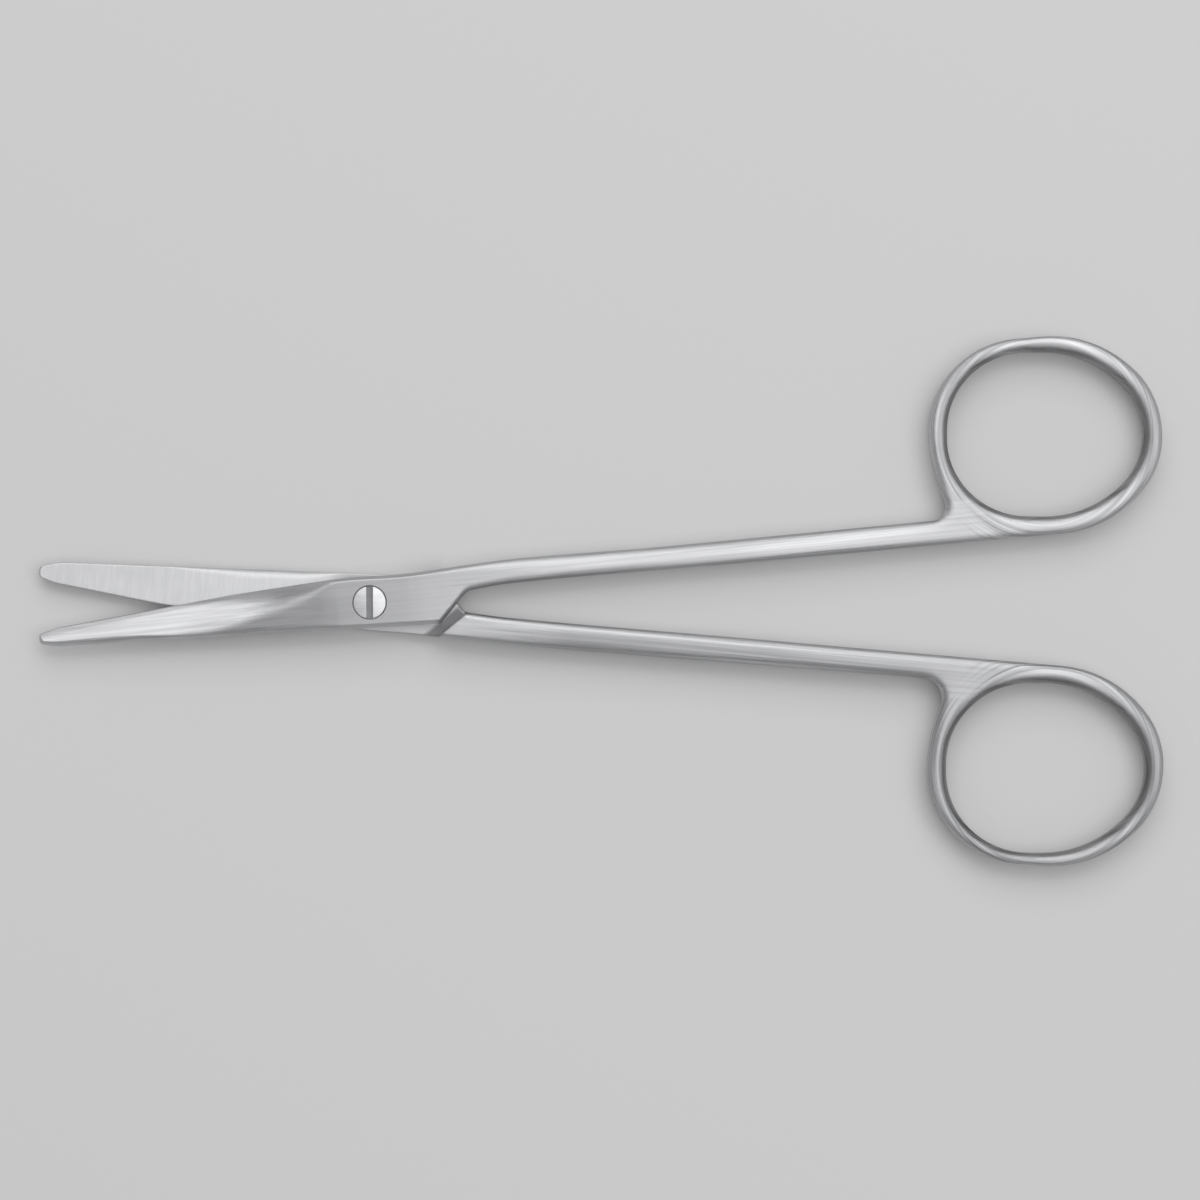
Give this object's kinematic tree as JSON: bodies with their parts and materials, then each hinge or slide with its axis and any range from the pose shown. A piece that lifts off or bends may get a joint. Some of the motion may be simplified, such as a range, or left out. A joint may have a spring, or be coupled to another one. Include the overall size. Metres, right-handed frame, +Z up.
{
  "type": "dissecting scissors",
  "caption": "Slender straight dissecting scissors with blunt points, a lap joint that turns on a slotted screw, and oval finger rings.",
  "frame": {"origin": "on the pivot axis, at the lower half's flat underside, on which the instrument lies", "axes": "+Z up along the pivot axis, out of the screw's head; +X from the pivot towards the finger rings, half way between the two shanks; +Y towards the upper half's ring"},
  "size_m": [0.1449, 0.0683, 0.0045],
  "materials": {
    "half_steel": "satin",
    "screw_steel": "satin"
  },
  "bodies": {
    "lower": {"lower_half": "half_steel", "pivot_screw": "screw_steel"},
    "upper": {"upper_half": "half_steel"}
  },
  "joints": [
    {"name": "pivot", "type": "hinge", "parent": "lower", "child": "upper", "pos_m": [0, 0, 0], "axis": [0, 0, 1], "range_deg": [-10.7, 79.3]}
  ]
}
